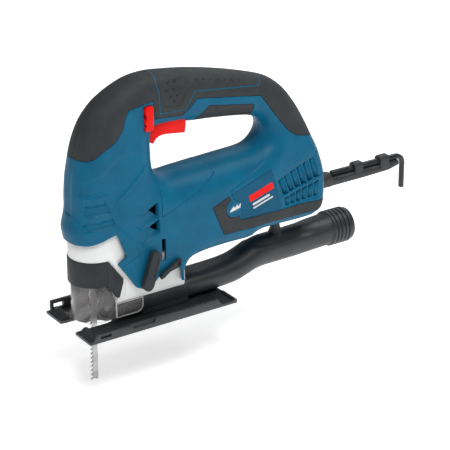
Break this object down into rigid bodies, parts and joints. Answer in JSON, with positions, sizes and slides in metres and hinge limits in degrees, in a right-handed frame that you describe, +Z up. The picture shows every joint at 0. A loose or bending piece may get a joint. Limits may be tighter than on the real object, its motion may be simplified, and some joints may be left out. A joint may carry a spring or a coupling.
{
  "type": "jigsaw power tool",
  "caption": "Corded D-handle jigsaw with an orbital blade drive, clear dust hood, sliding base plate and a dust extraction tube.",
  "frame": {"origin": "centre of the sole's underside", "axes": "-X is the cutting direction, +Z points up through the handle, -Y is the left side with the lock button"},
  "size_m": [0.3833, 0.079, 0.2885],
  "materials": {
    "blue_shell": "satin",
    "plate_blue": "semi gloss",
    "soft_rubber": "matte",
    "cast_head": "satin painted casting",
    "anthracite": "matte",
    "red_plastic": "semi gloss",
    "black_plastic": "satin",
    "black_rubber": "matte",
    "black_base": "satin",
    "clear_cover": "clear polycarbonate",
    "bright_steel": "ground",
    "dark_steel": "blackened",
    "key_steel": "blackened",
    "copper": "turned",
    "bronze": "sintered",
    "brass": "pressed",
    "carbon": "matte",
    "white_disc": "satin"
  },
  "bodies": {
    "tool": {"housing_left": "blue_shell", "housing_right": "blue_shell", "name_plate_left": "plate_blue", "name_plate_right": "plate_blue", "grip_rubber_left": "soft_rubber", "grip_rubber_right": "soft_rubber", "grip_pad": "soft_rubber", "finger_pad": "soft_rubber", "side_bumper_left": "soft_rubber", "side_bumper_right": "soft_rubber", "gear_housing": "cast_head", "switch_module": "black_plastic", "cord_sleeve": "black_rubber", "front_bearing": "bright_steel", "rear_bearing": "bright_steel", "housing_screw_1": "bright_steel", "housing_screw_2": "bright_steel", "housing_screw_3": "bright_steel", "housing_screw_4": "bright_steel", "housing_screw_5": "bright_steel", "housing_screw_6": "bright_steel", "gear_shaft": "dark_steel", "stator": "dark_steel", "plunger_bushing_upper": "bronze", "plunger_bushing_lower": "bronze", "brush_holder_left": "brass", "brush_holder_right": "brass", "carbon_brush_left": "carbon", "carbon_brush_right": "carbon", "badge_left": "white_disc", "badge_right": "white_disc"},
    "armature": {"armature_shaft": "bright_steel", "armature_core": "dark_steel", "commutator": "copper", "fan": "black_plastic"},
    "gear": {"gear_wheel": "bright_steel"},
    "counterweight": {"counterweight": "dark_steel"},
    "plunger": {"plunger": "bright_steel", "blade_clamp": "dark_steel"},
    "saw_blade": {"saw_blade": "bright_steel"},
    "roller_bracket": {"roller_bracket": "dark_steel", "roller_pin": "bright_steel"},
    "guide_roller": {"guide_roller": "dark_steel"},
    "sds_lever": {"sds_lever": "anthracite"},
    "dust_hood": {"dust_hood": "clear_cover"},
    "trigger": {"trigger": "red_plastic"},
    "lock_button": {"lock_button": "red_plastic"},
    "orbital_lever": {"orbital_lever": "anthracite"},
    "blower_slider": {"blower_slider": "anthracite"},
    "hex_key": {"hex_key": "key_steel"},
    "base_bracket": {"base_bracket": "black_plastic"},
    "base_clamp_screw": {"base_clamp_screw": "bright_steel"},
    "base_plate": {"base_plate": "black_base"},
    "dust_tube": {"dust_tube": "black_plastic"}
  },
  "joints": [
    {"name": "plunger_stroke", "type": "slide", "parent": "tool", "child": "plunger", "axis": [0, 0, 1], "range_m": [-0.013, 0.013]},
    {"name": "counterweight_slide", "type": "slide", "parent": "tool", "child": "counterweight", "axis": [0, 0, 1], "range_m": [-0.013, 0.013]},
    {"name": "armature_spin", "type": "hinge", "parent": "tool", "child": "armature", "pos_m": [0.021, 0, 0.0925], "axis": [1, 0, 0], "continuous": true},
    {"name": "gear_spin", "type": "hinge", "parent": "tool", "child": "gear", "pos_m": [-0.029, 0, 0.113], "axis": [1, 0, 0], "continuous": true},
    {"name": "blade_pull", "type": "slide", "parent": "plunger", "child": "saw_blade", "axis": [0, 0, -1], "range_m": [0, 0.024]},
    {"name": "orbital_swing", "type": "hinge", "parent": "tool", "child": "roller_bracket", "pos_m": [-0.035, 0, 0.05], "axis": [0, 1, 0], "range_deg": [-4, 0], "stiffness_Nm_per_rad": 0.6, "springref_deg": 1.72},
    {"name": "roller_spin", "type": "hinge", "parent": "roller_bracket", "child": "guide_roller", "pos_m": [-0.0428, 0, 0.015], "axis": [0, 1, 0], "continuous": true},
    {"name": "clamp_lever", "type": "hinge", "parent": "tool", "child": "sds_lever", "pos_m": [-0.0385, 0, 0.0365], "axis": [0, 1, 0], "range_deg": [-22, 0], "stiffness_Nm_per_rad": 0.5, "springref_deg": 5.73},
    {"name": "hood_pull", "type": "slide", "parent": "tool", "child": "dust_hood", "axis": [-1, 0, 0], "range_m": [0, 0.065]},
    {"name": "trigger_pull", "type": "hinge", "parent": "tool", "child": "trigger", "pos_m": [0.0075, 0, 0.181], "axis": [0, 1, 0], "range_deg": [-8, 0], "stiffness_Nm_per_rad": 0.8, "springref_deg": 3.44},
    {"name": "lock_press", "type": "slide", "parent": "tool", "child": "lock_button", "axis": [0, 1, 0], "range_m": [0, 0.003], "stiffness_N_per_m": 400, "springref_m": -0.001},
    {"name": "orbital_turn", "type": "hinge", "parent": "tool", "child": "orbital_lever", "pos_m": [-0.0142, -0.033, 0.0405], "axis": [0, 1, 0], "range_deg": [-60, 0]},
    {"name": "blower_slide", "type": "slide", "parent": "tool", "child": "blower_slider", "axis": [-1, 0, 0], "range_m": [0, 0.006]},
    {"name": "key_pull", "type": "slide", "parent": "tool", "child": "hex_key", "axis": [1, 0, 0], "range_m": [0, 0.09]},
    {"name": "base_tilt", "type": "hinge", "parent": "tool", "child": "base_bracket", "pos_m": [0, 0, 0], "axis": [1, 0, 0], "range_deg": [-15, 15]},
    {"name": "clamp_screw_turn", "type": "hinge", "parent": "base_bracket", "child": "base_clamp_screw", "pos_m": [0.029, 0, 0.015], "axis": [0, 0, 1], "range_deg": [0, 270]},
    {"name": "base_slide", "type": "slide", "parent": "base_bracket", "child": "base_plate", "axis": [1, 0, 0], "range_m": [0, 0.018]},
    {"name": "tube_pull", "type": "slide", "parent": "base_plate", "child": "dust_tube", "axis": [1, 0, 0], "range_m": [0, 0.06]}
  ],
  "couplings": [
    {"joint": "counterweight_slide", "follows": "plunger_stroke", "ratio": -1},
    {"joint": "gear_spin", "follows": "armature_spin", "ratio": -0.2}
  ]
}
